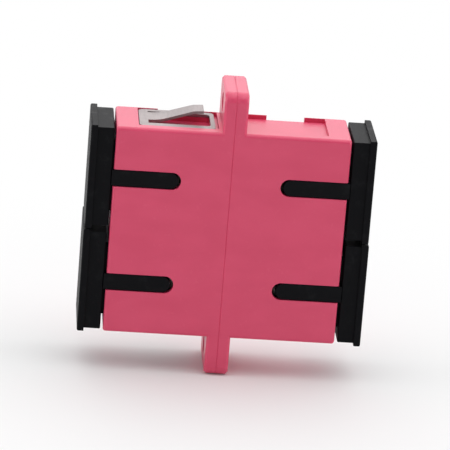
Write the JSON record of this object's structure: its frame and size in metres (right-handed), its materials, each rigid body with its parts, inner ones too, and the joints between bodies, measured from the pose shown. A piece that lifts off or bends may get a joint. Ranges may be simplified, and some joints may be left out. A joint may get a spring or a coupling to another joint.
{
  "type": "fibre optic adapter",
  "caption": "Duplex flanged fibre adapter in pink plastic with a steel panel clip, split ceramic sleeves and pull-off black dust caps.",
  "frame": {"origin": "centre of the flange on the plane where the two housing halves meet, midway between the two screw holes", "axes": "+X along the fibres towards the plain half (the clip half is at -X), -Y out of the keyway face, +Z across the two channels through the upper flange ear"},
  "size_m": [0.0336, 0.0094, 0.0346],
  "materials": {
    "housing_pink": "satin moulded",
    "clip_steel": "satin",
    "insert_white": "satin moulded",
    "sleeve_ceramic": "ground",
    "cap_black": "satin moulded"
  },
  "bodies": {
    "adapter": {"clip_end_housing": "housing_pink", "plain_end_housing": "housing_pink", "retaining_clip": "clip_steel", "latch_insert_clip_upper": "insert_white", "latch_insert_clip_lower": "insert_white", "latch_insert_plain_upper": "insert_white", "latch_insert_plain_lower": "insert_white", "alignment_sleeve_upper": "sleeve_ceramic", "alignment_sleeve_lower": "sleeve_ceramic"},
    "upper_clip_cap": {"dust_cap_clip_upper": "cap_black"},
    "lower_clip_cap": {"dust_cap_clip_lower": "cap_black"},
    "upper_plain_cap": {"dust_cap_plain_upper": "cap_black"},
    "lower_plain_cap": {"dust_cap_plain_lower": "cap_black"}
  },
  "joints": [
    {"name": "upper_clip_cap_pull", "type": "slide", "parent": "adapter", "child": "upper_clip_cap", "axis": [-1, 0, 0], "range_m": [-0.0002, 0.02]},
    {"name": "lower_clip_cap_pull", "type": "slide", "parent": "adapter", "child": "lower_clip_cap", "axis": [-1, 0, 0], "range_m": [-0.0003, 0.02]},
    {"name": "upper_plain_cap_pull", "type": "slide", "parent": "adapter", "child": "upper_plain_cap", "axis": [1, 0, 0], "range_m": [-0.00025, 0.02]},
    {"name": "lower_plain_cap_pull", "type": "slide", "parent": "adapter", "child": "lower_plain_cap", "axis": [1, 0, 0], "range_m": [-0.00035, 0.02]}
  ]
}
